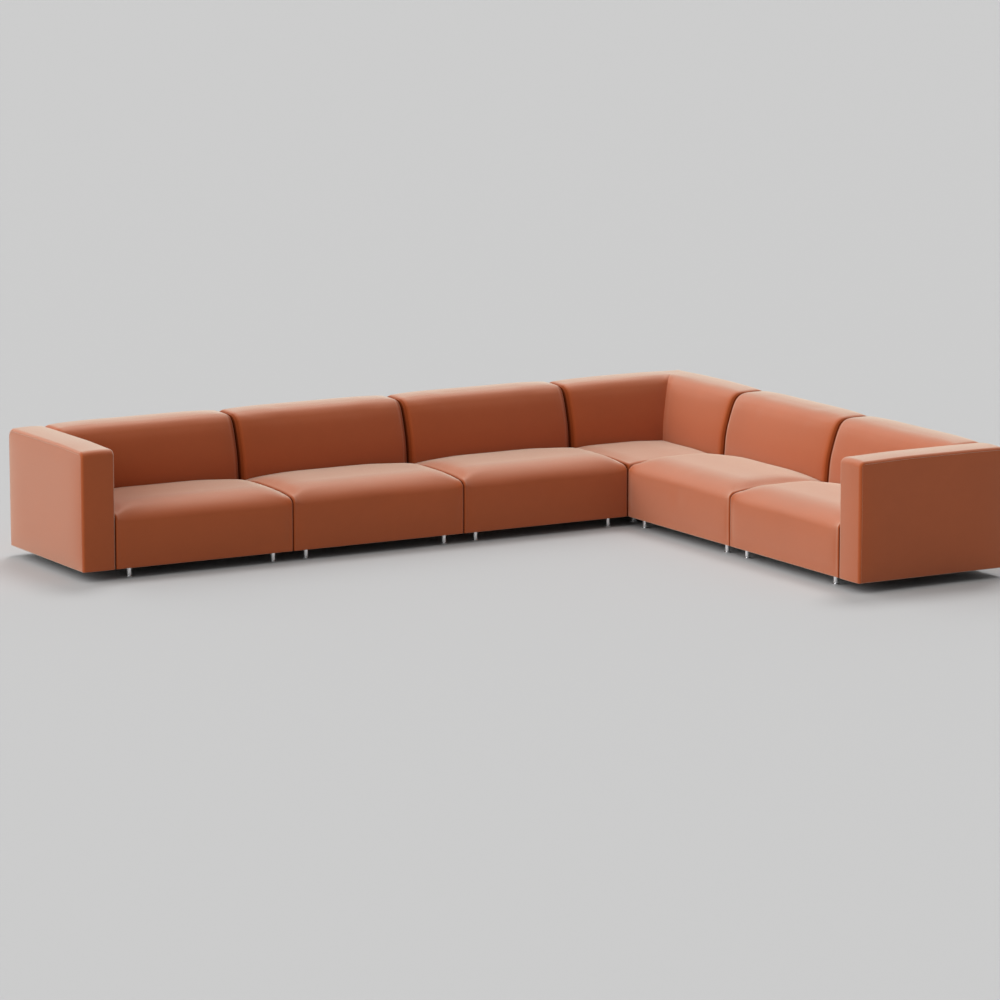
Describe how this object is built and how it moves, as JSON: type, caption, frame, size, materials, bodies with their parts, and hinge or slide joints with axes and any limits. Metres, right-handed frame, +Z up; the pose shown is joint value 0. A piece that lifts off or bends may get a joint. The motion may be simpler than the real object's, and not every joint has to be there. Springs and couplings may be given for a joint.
{
  "type": "modular corner sofa",
  "caption": "L-shaped modular corner sofa: upholstered box seats with crowned tops, leaning upright backs, slab arms at both ends, and short round metal feet.",
  "frame": {"origin": "on the floor, at the middle of the rectangle that the sofa covers", "axes": "+X along the long wing towards the corner, +Y towards the long wing's rear, +Z up"},
  "size_m": [4.27, 3.22, 0.715],
  "materials": {
    "leather": "satin",
    "chrome": "polished",
    "zinc_steel": "satin",
    "timber": "matte",
    "foam": "matte",
    "webbing": "matte",
    "dust_cloth": "matte"
  },
  "bodies": {
    "sofa": {"seat_cover_l1": "leather", "seat_cover_l2": "leather", "seat_cover_l3": "leather", "seat_cover_corner": "leather", "seat_cover_r1": "leather", "seat_cover_r2": "leather", "back_cover_l1": "leather", "back_cover_l2": "leather", "back_cover_l3": "leather", "back_cover_corner_left": "leather", "back_cover_corner_right": "leather", "back_cover_r1": "leather", "back_cover_r2": "leather", "arm_cover_left": "leather", "arm_cover_right": "leather", "seat_frame_l1": "timber", "seat_frame_l2": "timber", "seat_frame_l3": "timber", "seat_frame_corner": "timber", "seat_frame_r1": "timber", "seat_frame_r2": "timber", "back_frames": "timber", "arm_frames": "timber", "seat_foams": "foam", "back_foams": "foam", "arm_foams": "foam", "webbing_straps": "webbing", "dust_covers": "dust_cloth", "foot_inserts": "zinc_steel", "frame_bolts": "zinc_steel", "link_bolts": "zinc_steel"},
    "link_plate_l1_l2": {"link_plate_l1_l2": "zinc_steel"},
    "link_plate_l2_l3": {"link_plate_l2_l3": "zinc_steel"},
    "link_plate_l3_corner": {"link_plate_l3_corner": "zinc_steel"},
    "link_plate_corner_r1": {"link_plate_corner_r1": "zinc_steel"},
    "link_plate_r1_r2": {"link_plate_r1_r2": "zinc_steel"},
    "foot_l1_front_left": {"foot_l1_front_left": "chrome"},
    "foot_l1_front_right": {"foot_l1_front_right": "chrome"},
    "foot_l1_rear_left": {"foot_l1_rear_left": "chrome"},
    "foot_l1_rear_right": {"foot_l1_rear_right": "chrome"},
    "foot_l2_front_left": {"foot_l2_front_left": "chrome"},
    "foot_l2_front_right": {"foot_l2_front_right": "chrome"},
    "foot_l2_rear_left": {"foot_l2_rear_left": "chrome"},
    "foot_l2_rear_right": {"foot_l2_rear_right": "chrome"},
    "foot_l3_front_left": {"foot_l3_front_left": "chrome"},
    "foot_l3_front_right": {"foot_l3_front_right": "chrome"},
    "foot_l3_rear_left": {"foot_l3_rear_left": "chrome"},
    "foot_l3_rear_right": {"foot_l3_rear_right": "chrome"},
    "foot_corner_front_left": {"foot_corner_front_left": "chrome"},
    "foot_corner_front_right": {"foot_corner_front_right": "chrome"},
    "foot_corner_rear_left": {"foot_corner_rear_left": "chrome"},
    "foot_corner_rear_right": {"foot_corner_rear_right": "chrome"},
    "foot_r1_front_left": {"foot_r1_front_left": "chrome"},
    "foot_r1_front_right": {"foot_r1_front_right": "chrome"},
    "foot_r1_rear_left": {"foot_r1_rear_left": "chrome"},
    "foot_r1_rear_right": {"foot_r1_rear_right": "chrome"},
    "foot_r2_front_left": {"foot_r2_front_left": "chrome"},
    "foot_r2_front_right": {"foot_r2_front_right": "chrome"},
    "foot_r2_rear_left": {"foot_r2_rear_left": "chrome"},
    "foot_r2_rear_right": {"foot_r2_rear_right": "chrome"}
  },
  "joints": [
    {"name": "link_plate_l1_l2_swing", "type": "hinge", "parent": "sofa", "child": "link_plate_l1_l2", "pos_m": [-0.921, 1.01, 0.0523], "axis": [0, 0, 1], "range_deg": [0, 90]},
    {"name": "link_plate_l2_l3_swing", "type": "hinge", "parent": "sofa", "child": "link_plate_l2_l3", "pos_m": [0.129, 1.01, 0.0523], "axis": [0, 0, 1], "range_deg": [0, 90]},
    {"name": "link_plate_l3_corner_swing", "type": "hinge", "parent": "sofa", "child": "link_plate_l3_corner", "pos_m": [1.179, 1.01, 0.0523], "axis": [0, 0, 1], "range_deg": [0, 90]},
    {"name": "link_plate_corner_r1_swing", "type": "hinge", "parent": "sofa", "child": "link_plate_corner_r1", "pos_m": [1.535, 0.706, 0.0523], "axis": [0, 0, 1], "range_deg": [0, 90]},
    {"name": "link_plate_r1_r2_swing", "type": "hinge", "parent": "sofa", "child": "link_plate_r1_r2", "pos_m": [1.535, -0.344, 0.0523], "axis": [0, 0, 1], "range_deg": [0, 90]},
    {"name": "foot_l1_front_left_screw", "type": "slide", "parent": "sofa", "child": "foot_l1_front_left", "axis": [0, 0, -1], "range_m": [0, 0.012]},
    {"name": "foot_l1_front_right_screw", "type": "slide", "parent": "sofa", "child": "foot_l1_front_right", "axis": [0, 0, -1], "range_m": [0, 0.012]},
    {"name": "foot_l1_rear_left_screw", "type": "slide", "parent": "sofa", "child": "foot_l1_rear_left", "axis": [0, 0, -1], "range_m": [0, 0.012]},
    {"name": "foot_l1_rear_right_screw", "type": "slide", "parent": "sofa", "child": "foot_l1_rear_right", "axis": [0, 0, -1], "range_m": [0, 0.012]},
    {"name": "foot_l2_front_left_screw", "type": "slide", "parent": "sofa", "child": "foot_l2_front_left", "axis": [0, 0, -1], "range_m": [0, 0.012]},
    {"name": "foot_l2_front_right_screw", "type": "slide", "parent": "sofa", "child": "foot_l2_front_right", "axis": [0, 0, -1], "range_m": [0, 0.012]},
    {"name": "foot_l2_rear_left_screw", "type": "slide", "parent": "sofa", "child": "foot_l2_rear_left", "axis": [0, 0, -1], "range_m": [0, 0.012]},
    {"name": "foot_l2_rear_right_screw", "type": "slide", "parent": "sofa", "child": "foot_l2_rear_right", "axis": [0, 0, -1], "range_m": [0, 0.012]},
    {"name": "foot_l3_front_left_screw", "type": "slide", "parent": "sofa", "child": "foot_l3_front_left", "axis": [0, 0, -1], "range_m": [0, 0.012]},
    {"name": "foot_l3_front_right_screw", "type": "slide", "parent": "sofa", "child": "foot_l3_front_right", "axis": [0, 0, -1], "range_m": [0, 0.012]},
    {"name": "foot_l3_rear_left_screw", "type": "slide", "parent": "sofa", "child": "foot_l3_rear_left", "axis": [0, 0, -1], "range_m": [0, 0.012]},
    {"name": "foot_l3_rear_right_screw", "type": "slide", "parent": "sofa", "child": "foot_l3_rear_right", "axis": [0, 0, -1], "range_m": [0, 0.012]},
    {"name": "foot_corner_front_left_screw", "type": "slide", "parent": "sofa", "child": "foot_corner_front_left", "axis": [0, 0, -1], "range_m": [0, 0.012]},
    {"name": "foot_corner_front_right_screw", "type": "slide", "parent": "sofa", "child": "foot_corner_front_right", "axis": [0, 0, -1], "range_m": [0, 0.012]},
    {"name": "foot_corner_rear_left_screw", "type": "slide", "parent": "sofa", "child": "foot_corner_rear_left", "axis": [0, 0, -1], "range_m": [0, 0.012]},
    {"name": "foot_corner_rear_right_screw", "type": "slide", "parent": "sofa", "child": "foot_corner_rear_right", "axis": [0, 0, -1], "range_m": [0, 0.012]},
    {"name": "foot_r1_front_left_screw", "type": "slide", "parent": "sofa", "child": "foot_r1_front_left", "axis": [0, 0, -1], "range_m": [0, 0.012]},
    {"name": "foot_r1_front_right_screw", "type": "slide", "parent": "sofa", "child": "foot_r1_front_right", "axis": [0, 0, -1], "range_m": [0, 0.012]},
    {"name": "foot_r1_rear_left_screw", "type": "slide", "parent": "sofa", "child": "foot_r1_rear_left", "axis": [0, 0, -1], "range_m": [0, 0.012]},
    {"name": "foot_r1_rear_right_screw", "type": "slide", "parent": "sofa", "child": "foot_r1_rear_right", "axis": [0, 0, -1], "range_m": [0, 0.012]},
    {"name": "foot_r2_front_left_screw", "type": "slide", "parent": "sofa", "child": "foot_r2_front_left", "axis": [0, 0, -1], "range_m": [0, 0.012]},
    {"name": "foot_r2_front_right_screw", "type": "slide", "parent": "sofa", "child": "foot_r2_front_right", "axis": [0, 0, -1], "range_m": [0, 0.012]},
    {"name": "foot_r2_rear_left_screw", "type": "slide", "parent": "sofa", "child": "foot_r2_rear_left", "axis": [0, 0, -1], "range_m": [0, 0.012]},
    {"name": "foot_r2_rear_right_screw", "type": "slide", "parent": "sofa", "child": "foot_r2_rear_right", "axis": [0, 0, -1], "range_m": [0, 0.012]}
  ]
}
